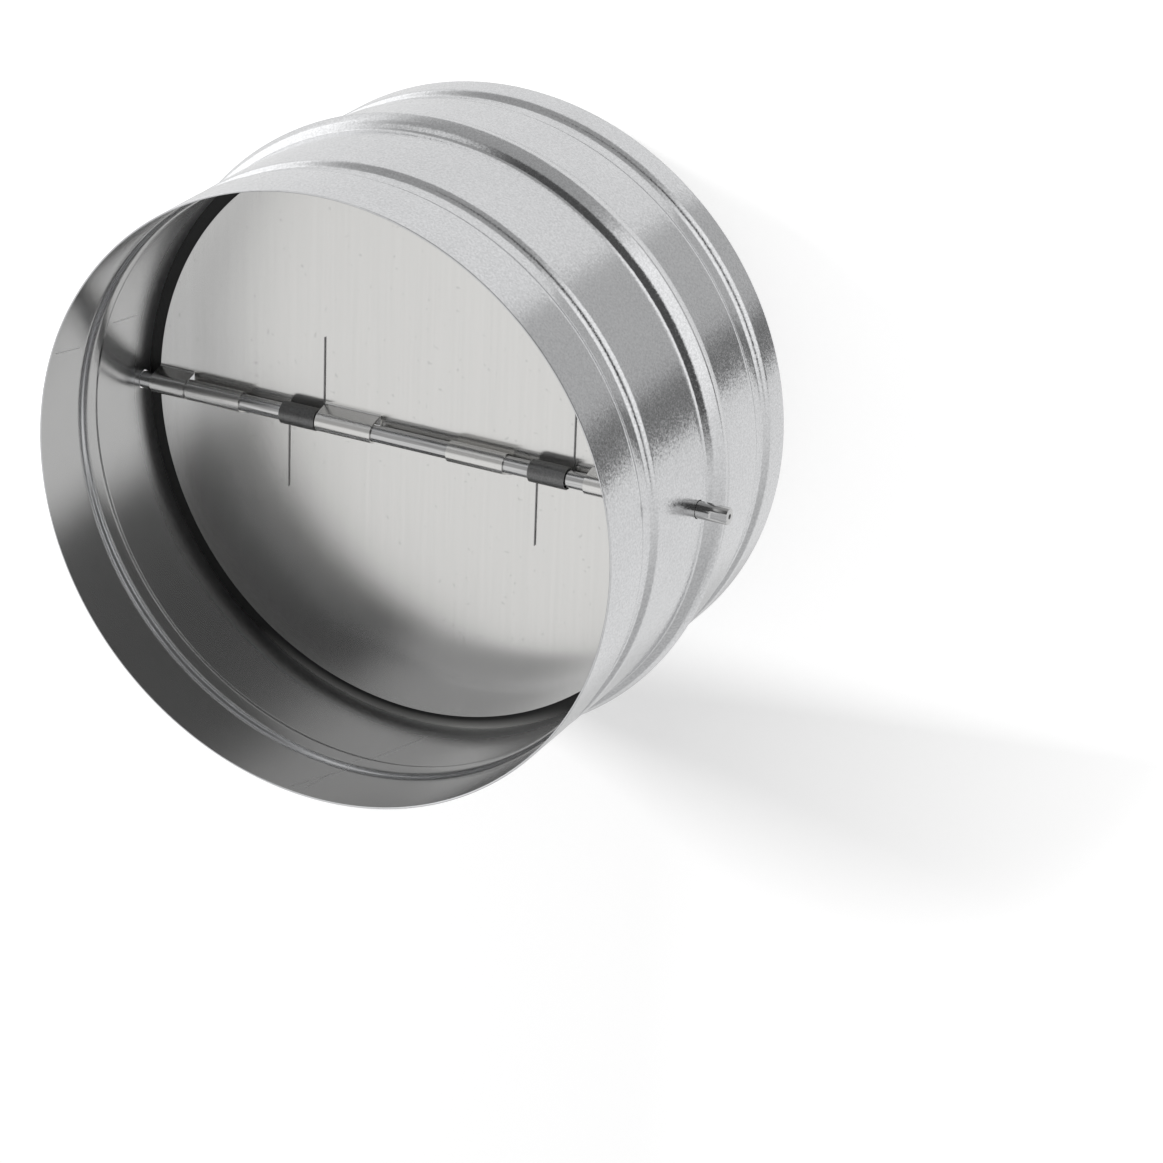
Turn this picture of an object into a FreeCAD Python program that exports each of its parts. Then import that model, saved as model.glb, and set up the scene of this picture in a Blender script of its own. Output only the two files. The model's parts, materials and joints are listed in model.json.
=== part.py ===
import FreeCAD, Part
import math
import os

import Sketcher

# Round duct backdraft damper, in millimetres.
# A beaded spigot casing carries a rubber ring in its bead and a fixed cross shaft. Two equal half-round
# blades turn on the shaft by rolled knuckles, and two torsion springs push them shut on the ring.
# The casing stands on its inlet rim: the air flows along +Z, and the shaft lies along X.

doc = FreeCAD.newDocument("backdraft_damper")
sheet = doc.addObject("Spreadsheet::Sheet", "Sheet")

DIMENSIONS = {
    "Casing": {
        "casing_radius": 99.5,
        "casing_length": 121.3,
        "casing_sheet": 0.6,
        "groove_depth": 1.5,
        "groove_rim_slope": 2.3,
        "groove_floor": 5.3,
        "groove_middle_slope": 3.0,
        "inlet_plain_end": 9.9,
        "outlet_plain_end": 21.2,
        "bead_middle": 49.7,
        "bead_foot_reach": 7.9,
        "bead_shoulder_reach": 4.8,
        "bead_shoulder_rise": 2.3,
        "bead_crest_rise": 3.7,
        "pin_hole_radius": 2.8,
    },
    "Shaft": {
        "shaft_level": 62.0,
        "shaft_radius": 2.75,
        "shaft_half_length": 110.0,
        "shaft_end_chamfer": 0.5,
        "shaft_flat_length": 5.5,
        "shaft_flat_distance": 2.3,
    },
    "Blades": {
        "blade_radius": 94.8,
        "blade_sheet": 0.6,
        "blade_setback": 3.8,
        "blade_half_gap": 0.5,
        "knuckle_bore": 2.8,
        "knuckle_roll_end": 42.0,
        "knuckle_bend_reach": 4.3,
        "knuckle_root": 7.5,
        "knuckle_relief": 0.5,
        "end_knuckle_middle": 88.6,
        "end_knuckle_width": 12.8,
        "side_knuckle_middle": 71.5,
        "side_knuckle_width": 19.8,
        "centre_knuckle_middle": 23.55,
        "centre_knuckle_width": 19.9,
    },
    "Seal ring": {
        "seal_lip_radius": 91.0,
        "seal_lip_thickness": 1.8,
        "seal_gap": 0.2,
        "seal_heel_reach": 7.0,
        "seal_heel_radius": 98.0,
        "seal_squeeze": 0.1,
    },
    "Springs": {
        "coil_bore": 3.25,
        "ridge_pitch": 0.82,
        "ridge_count": 16,
        "ridge_slope": 20.0,
        "coil_sides": 10,
        "wire_radius": 0.2,
        "leg_length": 26.9,
        "leg_setback": 3.43,
        "spring_left_place": -40.2,
        "spring_right_place": 48.7,
    },
}


def fill_sheet():
    """Write every driving dimension to the sheet, with its name as the cell's alias."""
    row = 1
    for group, sizes in DIMENSIONS.items():
        sheet.set(f"A{row}", group)
        row += 1
        for name, value in sizes.items():
            sheet.set(f"A{row}", name)
            sheet.set(f"B{row}", str(value))
            sheet.setAlias(f"B{row}", name)
            row += 1
    doc.recompute()


def size(expression):
    """The present value of an expression of sheet names."""
    return float(sheet.evalExpression(expression))


def bound(expression):
    """The same expression as another object of the document has to write it."""
    names = [name for sizes in DIMENSIONS.values() for name in sizes]
    words = expression.replace("(", "( ").replace(")", " )").split()
    return " ".join(f"Sheet.{word}" if word in names else word for word in words)


def new_body(name):
    body = doc.addObject("PartDesign::Body", name)
    body.Label = name
    return body


def new_sketch(body, name, plane, offset=None):
    """A sketch on one of the body's own planes, moved along the plane's normal by an expression."""
    sketch = body.newObject("Sketcher::SketchObject", name)
    support = next(item for item in body.Origin.OriginFeatures if item.Role == plane)
    sketch.AttachmentSupport = [(support, "")]
    sketch.MapMode = "FlatFace"
    if offset:
        sketch.setExpression("AttachmentOffset.Base.z", bound(offset))
    return sketch


def hold(sketch, kind, geometry, end, expression):
    """Bind a point's distance from the sketch's origin, across or up, to an expression."""
    value = size(expression)
    if abs(value) < 1e-9:
        axis = -1 if kind == "DistanceY" else -2
        sketch.addConstraint(Sketcher.Constraint("PointOnObject", geometry, end, axis))
        return
    index = sketch.addConstraint(Sketcher.Constraint(kind, -1, 1, geometry, end, value))
    sketch.setExpression(f"Constraints[{index}]", bound(expression))


def outline(sketch, corners):
    """A closed outline of straight lines through corners given as pairs of expressions."""
    places = [FreeCAD.Vector(size(across), size(up), 0) for across, up in corners]
    count = len(places)
    first = sketch.GeometryCount
    for index, place in enumerate(places):
        sketch.addGeometry(Part.LineSegment(place, places[(index + 1) % count]), False)
    for index, (across, up) in enumerate(corners):
        line = first + index
        after = first + (index + 1) % count
        sketch.addConstraint(Sketcher.Constraint("Coincident", line, 2, after, 1))
        hold(sketch, "DistanceX", line, 1, across)
        hold(sketch, "DistanceY", line, 1, up)


def circle(sketch, across, up, radius):
    """A circle whose centre and radius are bound to expressions."""
    centre = FreeCAD.Vector(size(across), size(up), 0)
    index = sketch.addGeometry(Part.Circle(centre, FreeCAD.Vector(0, 0, 1), size(radius)), False)
    hold(sketch, "DistanceX", index, 3, across)
    hold(sketch, "DistanceY", index, 3, up)
    held = sketch.addConstraint(Sketcher.Constraint("Radius", index, size(radius)))
    sketch.setExpression(f"Constraints[{held}]", bound(radius))


def polygon(sketch, sides, radius):
    """A regular polygon round the sketch's origin, its corners on a circle bound to an expression."""
    reach = size(radius)
    centre = FreeCAD.Vector(0, 0, 0)
    corners = []
    for index in range(sides):
        turn = 2 * math.pi * index / sides
        corners.append(FreeCAD.Vector(reach * math.cos(turn), reach * math.sin(turn), 0))
    for index, corner in enumerate(corners):
        sketch.addGeometry(Part.LineSegment(corner, corners[(index + 1) % sides]), False)
    guide = sketch.addGeometry(Part.Circle(centre, FreeCAD.Vector(0, 0, 1), reach), True)
    sketch.addConstraint(Sketcher.Constraint("Coincident", guide, 3, -1, 1))
    sketch.addConstraint(Sketcher.Constraint("PointOnObject", 0, 1, -1))
    for index in range(sides):
        after = (index + 1) % sides
        sketch.addConstraint(Sketcher.Constraint("Coincident", index, 2, after, 1))
        sketch.addConstraint(Sketcher.Constraint("PointOnObject", index, 1, guide))
        if index:
            sketch.addConstraint(Sketcher.Constraint("Equal", 0, index))
    held = sketch.addConstraint(Sketcher.Constraint("Radius", guide, reach))
    sketch.setExpression(f"Constraints[{held}]", bound(radius))


def revolve(body, name, sketch, axis):
    turned = body.newObject("PartDesign::Revolution", name)
    turned.Profile = sketch
    turned.ReferenceAxis = (sketch, [axis])
    turned.Angle = 360
    doc.recompute()
    return turned


def extrude(body, kind, name, sketch, length=None, symmetric=False, backwards=False):
    """A pad or a pocket of a sketch: through everything if it has no length."""
    feature = body.newObject(f"PartDesign::{kind}", name)
    feature.Profile = sketch
    if length:
        feature.Type = "Length"
        feature.Length = size(length)
        feature.setExpression("Length", bound(length))
    else:
        feature.Type = "ThroughAll"
    feature.SideType = "Symmetric" if symmetric else "One side"
    feature.Reversed = backwards
    doc.recompute()
    return feature


def bead_stations(wall):
    """The bead's bends from its low foot over its crest to its high foot, as radius and height."""
    shoulder = f"{wall} + bead_shoulder_rise"
    return [
        (wall, "bead_middle - bead_foot_reach"),
        (shoulder, "bead_middle - bead_shoulder_reach"),
        (f"{wall} + bead_crest_rise", "bead_middle"),
        (shoulder, "bead_middle + bead_shoulder_reach"),
        (wall, "bead_middle + bead_foot_reach"),
    ]


def groove_stations(rim_side, direction):
    """An inward groove's four bends, from its rim side inwards, as radius and height."""
    wall = "casing_radius"
    floor = "casing_radius - groove_depth"
    slope_end = f"{rim_side} {direction} groove_rim_slope"
    floor_end = f"{slope_end} {direction} groove_floor"
    middle_side = f"{floor_end} {direction} groove_middle_slope"
    return [(wall, rim_side), (floor, slope_end), (floor, floor_end), (wall, middle_side)]


def make_casing():
    """Sheet tube with an outward bead, an inward groove near each rim and two pin holes."""
    body = new_body("casing")
    stations = [("casing_radius", "0")]
    stations += groove_stations("inlet_plain_end", "+")
    stations += bead_stations("casing_radius")
    stations += groove_stations("casing_length - outlet_plain_end", "-")[::-1]
    stations += [("casing_radius", "casing_length")]
    inside = [(f"{across} - casing_sheet", up) for across, up in stations]

    section = new_sketch(body, "wall_section", "XZ_Plane")
    outline(section, stations + inside[::-1])
    revolve(body, "wall", section, "V_Axis")

    pin_holes = new_sketch(body, "pin_hole_outline", "YZ_Plane")
    circle(pin_holes, "0", "shaft_level", "pin_hole_radius")
    extrude(body, "Pocket", "pin_holes", pin_holes, symmetric=True)
    return body


def make_seal_ring():
    """Rubber ring: a tapered heel squeezed into the bead's hollow and a flat lip under the closed blades."""
    body = new_body("seal_ring")
    face = "shaft_level - blade_setback - blade_sheet - seal_gap"
    under_lip = f"{face} - seal_lip_thickness"
    heel = "bead_middle - seal_heel_reach"
    hollow = "casing_radius - casing_sheet + seal_squeeze"
    steepness = "bead_shoulder_rise / ( bead_foot_reach - bead_shoulder_reach )"
    crown_depth = f"( bead_middle + bead_foot_reach - ( {face} ) ) * {steepness}"
    heel_depth = f"( bead_foot_reach - seal_heel_reach ) * {steepness}"
    corners = [
        ("seal_lip_radius", face),
        (f"{hollow} + {crown_depth}", face),
        (f"{hollow} + bead_shoulder_rise", "bead_middle + bead_shoulder_reach"),
        (f"{hollow} + bead_shoulder_rise", "bead_middle - bead_shoulder_reach"),
        (f"{hollow} + {heel_depth}", heel),
        ("seal_heel_radius", under_lip),
        ("seal_lip_radius", under_lip),
    ]
    section = new_sketch(body, "ring_section", "XZ_Plane")
    outline(section, corners)
    revolve(body, "ring", section, "V_Axis")
    return body


def make_shaft():
    """Round bar with chamfered ends that are dressed flat above and below."""
    body = new_body("shaft")
    body.setExpression("Placement.Base.z", bound("shaft_level"))
    end = "shaft_half_length"
    corners = []
    for sign in ("", "-1 * "):
        half = [
            (f"{sign}{end}", "0"),
            (f"{sign}{end}", "shaft_radius - shaft_end_chamfer"),
            (f"{sign}( {end} - shaft_end_chamfer )", "shaft_radius"),
        ]
        corners += half[::-1] if sign else half
    section = new_sketch(body, "bar_section", "XZ_Plane")
    outline(section, corners)
    revolve(body, "bar", section, "H_Axis")

    flats = new_sketch(body, "flat_outlines", "XZ_Plane")
    for along in ("", "-1 * "):
        for above in ("", "-1 * "):
            far = f"{along}( {end} + shaft_end_chamfer )"
            near = f"{along}( {end} - shaft_flat_length )"
            low = f"{above}shaft_flat_distance"
            high = f"{above}( shaft_radius + shaft_end_chamfer )"
            outline(flats, [(near, low), (far, low), (far, high), (near, high)])
    extrude(body, "Pocket", "flats", flats, symmetric=True)
    return body


def knuckle_section(body, name, middle):
    """Strip that rises off the blade's face and rolls round the shaft, seen along the shaft."""
    sketch = new_sketch(body, name, "YZ_Plane", middle)
    bore = size("knuckle_bore")
    thick = size("blade_sheet")
    setback = size("blade_setback")
    reach = size("knuckle_bend_reach")
    root = size("knuckle_root")
    roll = bore + thick

    # The ramp touches the roll where a line through the bend is tangent to it
    distance = math.hypot(reach, setback)
    lift = math.acos(roll / distance) - math.atan2(setback, reach)
    tail = -math.radians(size("knuckle_roll_end"))
    level = FreeCAD.Vector(0, 0, 1)
    centre = FreeCAD.Vector(0, 0, 0)

    def on_circle(radius, angle):
        return FreeCAD.Vector(radius * math.cos(angle), radius * math.sin(angle), 0)

    def ramp_foot(radius, depth):
        run = (radius * math.sin(lift) + depth) / math.cos(lift)
        return on_circle(radius, lift) + FreeCAD.Vector(math.sin(lift), -math.cos(lift), 0) * run

    top_foot = ramp_foot(roll, setback)
    under_foot = ramp_foot(bore, setback + thick)
    top_root = FreeCAD.Vector(root, -setback, 0)
    under_root = FreeCAD.Vector(root, -setback - thick, 0)
    outer, inner, top_ramp, under_ramp, top, end, under, lip = range(8)
    for radius in (roll, bore):
        whole = Part.Circle(centre, level, radius)
        sketch.addGeometry(Part.ArcOfCircle(whole, lift, tail + 2 * math.pi), False)
    lines = [
        (on_circle(roll, lift), top_foot),
        (on_circle(bore, lift), under_foot),
        (top_foot, top_root),
        (top_root, under_root),
        (under_root, under_foot),
        (on_circle(roll, tail), on_circle(bore, tail)),
    ]
    for start, finish in lines:
        sketch.addGeometry(Part.LineSegment(start, finish), False)

    joins = [
        ("Tangent", outer, 1, top_ramp, 1),
        ("Tangent", inner, 1, under_ramp, 1),
        ("Coincident", top_ramp, 2, top, 1),
        ("Coincident", top, 2, end, 1),
        ("Coincident", end, 2, under, 1),
        ("Coincident", under, 2, under_ramp, 2),
        ("Coincident", lip, 1, outer, 2),
        ("Coincident", lip, 2, inner, 2),
        ("Coincident", outer, 3, -1, 1),
        ("Coincident", inner, 3, -1, 1),
        ("Parallel", top_ramp, under_ramp),
        ("Horizontal", top),
        ("Vertical", end),
        ("Horizontal", under),
        ("PointOnObject", -1, 1, lip),
    ]
    for join in joins:
        sketch.addConstraint(Sketcher.Constraint(*join))
    hold(sketch, "DistanceX", top, 1, "knuckle_bend_reach")
    hold(sketch, "DistanceX", top, 2, "knuckle_root")
    hold(sketch, "DistanceY", top, 2, "-1 * blade_setback")
    hold(sketch, "DistanceY", under, 1, "-1 * ( blade_setback + blade_sheet )")
    for arc, radius in ((outer, "knuckle_bore + blade_sheet"), (inner, "knuckle_bore")):
        held = sketch.addConstraint(Sketcher.Constraint("Radius", arc, size(radius)))
        sketch.setExpression(f"Constraints[{held}]", bound(radius))
    held = sketch.addConstraint(Sketcher.Constraint("Angle", lip, math.pi + tail))
    sketch.setExpression(f"Constraints[{held}]", bound("( 180 - knuckle_roll_end )") + " * 1 deg")
    return sketch


def make_blade(name, turn):
    """Half-round blade: flat sheet behind the shaft, with windows where its three knuckles roll up."""
    body = new_body(name)
    body.Placement = FreeCAD.Placement(
        FreeCAD.Vector(0, 0, size("shaft_level")),
        FreeCAD.Rotation(FreeCAD.Vector(0, 0, 1), turn),
    )
    body.setExpression("Placement.Base.z", bound("shaft_level"))

    plate = new_sketch(body, "plate_outline", "XY_Plane", "-1 * ( blade_setback + blade_sheet )")
    radius = size("blade_radius")
    edge = size("blade_half_gap")
    across = math.sqrt(radius**2 - edge**2)
    start = math.asin(edge / radius)
    whole = Part.Circle(FreeCAD.Vector(0, 0, 0), FreeCAD.Vector(0, 0, 1), radius)
    plate.addGeometry(Part.ArcOfCircle(whole, start, math.pi - start), False)
    corners = [FreeCAD.Vector(-across, edge, 0), FreeCAD.Vector(across, edge, 0)]
    plate.addGeometry(Part.LineSegment(*corners), False)
    for join in (
        ("Coincident", 0, 3, -1, 1),
        ("Coincident", 0, 2, 1, 1),
        ("Coincident", 1, 2, 0, 1),
        ("Horizontal", 1),
    ):
        plate.addConstraint(Sketcher.Constraint(*join))
    hold(plate, "DistanceY", 1, 1, "blade_half_gap")
    held = plate.addConstraint(Sketcher.Constraint("Radius", 0, radius))
    plate.setExpression(f"Constraints[{held}]", bound("blade_radius"))
    extrude(body, "Pad", "plate", plate, "blade_sheet")

    knuckles = {
        "end": "-1 * end_knuckle_middle",
        "centre": "-1 * centre_knuckle_middle",
        "side": "side_knuckle_middle",
    }
    windows = new_sketch(body, "window_outlines", "XY_Plane")
    for place, middle in knuckles.items():
        half = f"( {place}_knuckle_width / 2 + knuckle_relief )"
        left = f"{middle} - {half}"
        right = f"{middle} + {half}"
        near = "-1 * blade_half_gap"
        far = "knuckle_bend_reach + knuckle_relief"
        outline(windows, [(left, near), (right, near), (right, far), (left, far)])
    extrude(body, "Pocket", "windows", windows, symmetric=True)

    for place, middle in knuckles.items():
        section = knuckle_section(body, f"{place}_knuckle_section", middle)
        extrude(body, "Pad", f"{place}_knuckle", section, f"{place}_knuckle_width", symmetric=True)
    return body


def make_spring(name, place):
    """Close-wound torsion spring on the shaft: a leg from its right end up, one from its left end down.

    Each ridge of the coil stands for two turns of its fine wire.
    """
    body = new_body(name)
    body.setExpression("Placement.Base.x", bound(place))
    body.setExpression("Placement.Base.z", bound("shaft_level"))
    outline_place = "-1 * ( ridge_count - 1 ) * ridge_pitch / 2"
    outline_sketch = new_sketch(body, "ridge_outline", "YZ_Plane", outline_place)
    polygon(outline_sketch, int(size("coil_sides")), "coil_bore + 2 * wire_radius")
    ridge = extrude(body, "Pad", "ridge", outline_sketch, "ridge_pitch", symmetric=True)
    ridge.setExpression("TaperAngle", bound("-1 * ridge_slope"))
    ridges = body.newObject("PartDesign::LinearPattern", "ridges")
    ridges.Originals = [ridge]
    ridges.Direction = (outline_sketch, ["N_Axis"])
    ridges.setExpression("Length", bound("ridge_pitch * ( ridge_count - 1 )"))
    ridges.setExpression("Occurrences", bound("ridge_count"))
    body.Tip = ridges
    doc.recompute()
    bore = new_sketch(body, "bore_outline", "YZ_Plane")
    circle(bore, "0", "0", "coil_bore")
    extrude(body, "Pocket", "bore", bore, symmetric=True)

    for leg, sign in (("upper_leg", ""), ("lower_leg", "-1 * ")):
        sketch = new_sketch(body, f"{leg}_section", "XZ_Plane")
        along = f"{sign}( ridge_count * ridge_pitch / 2 - wire_radius )"
        circle(sketch, along, "-1 * leg_setback", "wire_radius")
        extrude(body, "Pad", leg, sketch, "leg_length", backwards=not sign)
    return body


def check(bodies):
    """Stop if any object of the document failed or a sub-part isn't a valid solid."""
    for item in doc.Objects:
        if {"Invalid", "Error"} & set(item.State):
            raise RuntimeError(f"{item.Label} didn't recompute: {item.State}")
    for body in bodies:
        shape = body.Shape
        if shape.isNull() or not shape.isValid() or len(shape.Solids) != 1:
            raise RuntimeError(f"{body.Label} isn't one valid solid")


fill_sheet()
bodies = [
    make_casing(),
    make_seal_ring(),
    make_shaft(),
    make_blade("blade_upper", 0),
    make_blade("blade_lower", 180),
    make_spring("spring_left", "spring_left_place"),
    make_spring("spring_right", "spring_right_place"),
]
doc.recompute()
check(bodies)

os.makedirs("parts", exist_ok=True)
for body in bodies:
    body.Shape.exportStep(f"parts/{body.Label}.step")
    print(body.Label, round(body.Shape.Volume, 1), body.Shape.BoundBox)
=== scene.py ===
import json
import math

import bmesh
import bpy
from mathutils import Matrix, Vector


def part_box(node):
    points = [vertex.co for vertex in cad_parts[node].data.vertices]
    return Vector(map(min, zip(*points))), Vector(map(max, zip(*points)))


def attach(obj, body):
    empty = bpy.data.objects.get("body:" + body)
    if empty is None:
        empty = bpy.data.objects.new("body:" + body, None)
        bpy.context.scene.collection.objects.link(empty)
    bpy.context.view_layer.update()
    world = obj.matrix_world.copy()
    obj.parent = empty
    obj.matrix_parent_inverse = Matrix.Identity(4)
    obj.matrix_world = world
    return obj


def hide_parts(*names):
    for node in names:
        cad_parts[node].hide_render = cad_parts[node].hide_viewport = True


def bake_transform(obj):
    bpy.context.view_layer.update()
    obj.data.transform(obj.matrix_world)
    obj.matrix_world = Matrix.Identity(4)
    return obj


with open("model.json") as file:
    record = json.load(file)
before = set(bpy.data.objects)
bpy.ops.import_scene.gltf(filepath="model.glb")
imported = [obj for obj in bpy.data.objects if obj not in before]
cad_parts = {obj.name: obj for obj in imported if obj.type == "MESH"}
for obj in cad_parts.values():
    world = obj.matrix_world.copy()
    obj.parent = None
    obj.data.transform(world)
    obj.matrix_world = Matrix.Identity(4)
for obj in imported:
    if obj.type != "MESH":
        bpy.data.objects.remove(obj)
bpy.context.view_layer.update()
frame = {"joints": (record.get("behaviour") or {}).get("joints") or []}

# Sizes are in metres. Heights count from the inlet rim, which stands on the floor.
MM = 0.001

casing_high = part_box("casing")[1]
shaft_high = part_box("shaft")[1]
ring_low, ring_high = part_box("seal_ring")
CASING_LENGTH = casing_high.z
BEAD_RADIUS = min(casing_high.x, casing_high.y)
SHAFT_LEVEL = frame["joints"][0]["pos_m"][2]
BEND_STEP = math.radians(7)

# Casing: 0.6 mm sheet, an outward bead and two inward grooves
CASING_RADIUS = 99.5 * MM
SHEET = 0.6 * MM
GROOVE_DEPTH = 1.5 * MM
GROOVE_SLOPE = 2.06 * MM
GROOVE_FLOOR = 5.8 * MM
GROOVE_BEND = 3.9 * MM
INLET_PLAIN_END = 10.15 * MM
OUTLET_PLAIN_END = 21.3 * MM
BEAD_MIDDLE = 49.7 * MM
BEAD_FOOT_REACH = 7.9 * MM
BEAD_FOOT_BEND = 2.0 * MM
BEAD_SHOULDER_REACH = 4.8 * MM
BEAD_SHOULDER_RISE = 2.3 * MM
BEAD_INLET_SHOULDER_BEND = 3.0 * MM
BEAD_OUTLET_SHOULDER_BEND = 4.5 * MM
BEAD_CREST_BEND = 2.0 * MM
RUN_OUT_START = 7.0 * MM
RUN_OUT_START_BEND = 2.5 * MM
RUN_OUT_RISE = 0.34 * MM
RUN_OUT_END = 8.6 * MM
RUN_OUT_END_BEND = 8.0 * MM
PIN_HOLE_RADIUS = 3.0 * MM
RIM_CHAMFER = 0.12 * MM
WALL_SEGMENTS = 320

# Seal ring: a flat lip under the blades and a heel in the bead's hollow
LIP_RADIUS = 91.0 * MM
LIP_THICKNESS = 1.8 * MM
LIP_ROUND = 0.6 * MM
HEEL_RADIUS = 98.0 * MM
HEEL_ROUND = 1.6 * MM
CROWN_ROUND = 1.0 * MM
TOP_FACE_REACH = 0.2 * MM
LOW_FACE_REACH = 0.6 * MM
RING_SEGMENTS = 240

# Shaft: a bar of 5.5 mm whose ends are dressed flat and punched
SHAFT_RADIUS = 2.75 * MM
SHAFT_HALF_LENGTH = shaft_high.x
SHAFT_CHAMFER = 0.5 * MM
SHAFT_FACE_RADIUS = 2.2 * MM
SHAFT_EDGE_RADIUS = 2.6 * MM
SHAFT_EDGE_DROP = 0.12 * MM
SHAFT_FLAT_LENGTH = 5.5 * MM
SHAFT_FLAT_DISTANCE = 2.3 * MM
SHAFT_SIDES = 96
PUNCH_RADIUS = 0.8 * MM
PUNCH_TIP_RADIUS = 0.25 * MM
PUNCH_TIP_DEPTH = 0.425 * MM
PUNCH_DEPTH = 0.5 * MM

# Blades: half rounds behind the shaft, with three rolled knuckles each
BLADE_RADIUS = 94.8 * MM
BLADE_SHEET = 0.6 * MM
BLADE_SETBACK = 3.8 * MM
BLADE_HALF_GAP = 0.5 * MM
BLADE_ARC_STEPS = 180
KNUCKLE_BORE = 2.8 * MM
KNUCKLE_BEND_REACH = 4.3 * MM
KNUCKLE_BEND_RADIUS = 1.4 * MM
KNUCKLE_RELIEF = 0.5 * MM
KNUCKLE_SLIT = 0.12 * MM
KNUCKLE_ROLL_END = math.radians(42)
KNUCKLE_STEPS = 56
KNUCKLES = ((-88.6 * MM, 12.8 * MM), (-23.55 * MM, 19.9 * MM), (71.5 * MM, 19.8 * MM))
EDGE_BEVEL = 0.1 * MM

# Springs: close-wound wire with one straight leg on each blade
WIRE_RADIUS = 0.2 * MM
COIL_RADIUS = 3.45 * MM
COIL_PITCH = 0.41 * MM
HALF_TURNS = 15.5
TURN_STEPS = 24
LEG_LENGTH = 26.9 * MM
LEG_STEPS = 12
SPRINGS = {"left": -40.2 * MM, "right": 48.7 * MM}


def make_object(name, mesh, body, material, replaced):
    """Link a finished mesh as a piece that rides on a body and stands for CAD nodes."""
    piece = bpy.data.objects.new(name, mesh)
    bpy.context.scene.collection.objects.link(piece)
    mesh.materials.append(material)
    if body:
        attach(piece, body)
    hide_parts(*replaced)
    return piece


def smooth_by_angle(mesh, degrees):
    mesh.shade_smooth()
    mesh.set_sharp_from_angle(angle=math.radians(degrees))


def outward_mesh(built, name):
    """The mesh of a finished bmesh, its faces turned outwards."""
    bmesh.ops.recalc_face_normals(built, faces=built.faces)
    mesh = bpy.data.meshes.new(name)
    built.to_mesh(mesh)
    built.free()
    return mesh


def join_rings(built, rings):
    """Faces from each closed ring of vertices to the next."""
    for ring, after in zip(rings, rings[1:]):
        for index in range(len(ring)):
            other = (index + 1) % len(ring)
            built.faces.new((ring[index], ring[other], after[other], after[index]))


def rounded_path(corners):
    """A line through corners (across, up, bend radius), each bend an arc, as a list of points."""
    places = [Vector((across, up)) for across, up, _ in corners]
    path = [places[0]]
    for index in range(1, len(corners) - 1):
        before = (places[index] - places[index - 1]).normalized()
        after = (places[index + 1] - places[index]).normalized()
        turn = before.angle_signed(after)
        radius = corners[index][2]
        if not radius or abs(turn) < 1e-6:
            path.append(places[index])
            continue
        side = Vector((before.y, -before.x)) if turn > 0 else Vector((-before.y, before.x))
        start = places[index] - before * radius * math.tan(abs(turn) / 2)
        centre = start + side * radius
        steps = max(2, math.ceil(abs(turn) / BEND_STEP))
        spoke = start - centre
        for step in range(steps + 1):
            spin = Matrix.Rotation(-turn * step / steps, 2)
            path.append(centre + spin @ spoke)
    path.append(places[-1])
    return path


def thicken(path, thickness):
    """Both sides of a sheet whose middle follows a path: its right-hand side and its left-hand side."""
    sides = ([], [])
    for index, place in enumerate(path):
        back = path[max(index - 1, 0)]
        ahead = path[min(index + 1, len(path) - 1)]
        along = (ahead - back).normalized()
        normal = Vector((along.y, -along.x)) * thickness / 2
        sides[0].append(place + normal)
        sides[1].append(place - normal)
    return sides


def eased_ends(outside, inside):
    """A sheet's closed section whose four end corners are broken by a small chamfer."""
    section = []
    for side, other in ((outside, inside), (inside[::-1], outside[::-1])):
        along_start = (side[1] - side[0]).normalized() * RIM_CHAMFER
        along_end = (side[-2] - side[-1]).normalized() * RIM_CHAMFER
        section.append(side[0] + (other[0] - side[0]).normalized() * RIM_CHAMFER)
        section.append(side[0] + along_start)
        section += side[1:-1]
        section.append(side[-1] + along_end)
        section.append(side[-1] + (other[-1] - side[-1]).normalized() * RIM_CHAMFER)
    return section


def lathe(name, section, steps):
    """Turn a closed section of (radius, height) points round Z."""
    built = bmesh.new()
    rings = []
    for step in range(steps):
        angle = 2 * math.pi * step / steps
        ring = []
        for radius, height in section:
            ring.append(built.verts.new((radius * math.cos(angle), radius * math.sin(angle), height)))
        rings.append(ring)
    join_rings(built, rings + rings[:1])
    return outward_mesh(built, name)


def groove_corners(rim_side, direction):
    """An inward groove's four wide bends, from its rim side inwards."""
    wall = CASING_RADIUS - SHEET / 2
    floor = wall - GROOVE_DEPTH
    slope_end = rim_side + direction * GROOVE_SLOPE
    floor_end = slope_end + direction * GROOVE_FLOOR
    middle_side = floor_end + direction * GROOVE_SLOPE
    places = ((wall, rim_side), (floor, slope_end), (floor, floor_end), (wall, middle_side))
    return [(across, up, GROOVE_BEND) for across, up in places]


def bead_corners():
    """The bead's bends from its foot on the inlet side to the end of its soft run-out."""
    wall = CASING_RADIUS - SHEET / 2
    shoulder = wall + BEAD_SHOULDER_RISE
    return [
        (wall, BEAD_MIDDLE - BEAD_FOOT_REACH, BEAD_FOOT_BEND),
        (shoulder, BEAD_MIDDLE - BEAD_SHOULDER_REACH, BEAD_INLET_SHOULDER_BEND),
        (BEAD_RADIUS - SHEET / 2, BEAD_MIDDLE, BEAD_CREST_BEND),
        (shoulder, BEAD_MIDDLE + BEAD_SHOULDER_REACH, BEAD_OUTLET_SHOULDER_BEND),
        (wall + RUN_OUT_RISE, BEAD_MIDDLE + RUN_OUT_START, RUN_OUT_START_BEND),
        (wall, BEAD_MIDDLE + RUN_OUT_END, RUN_OUT_END_BEND),
    ]


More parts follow.
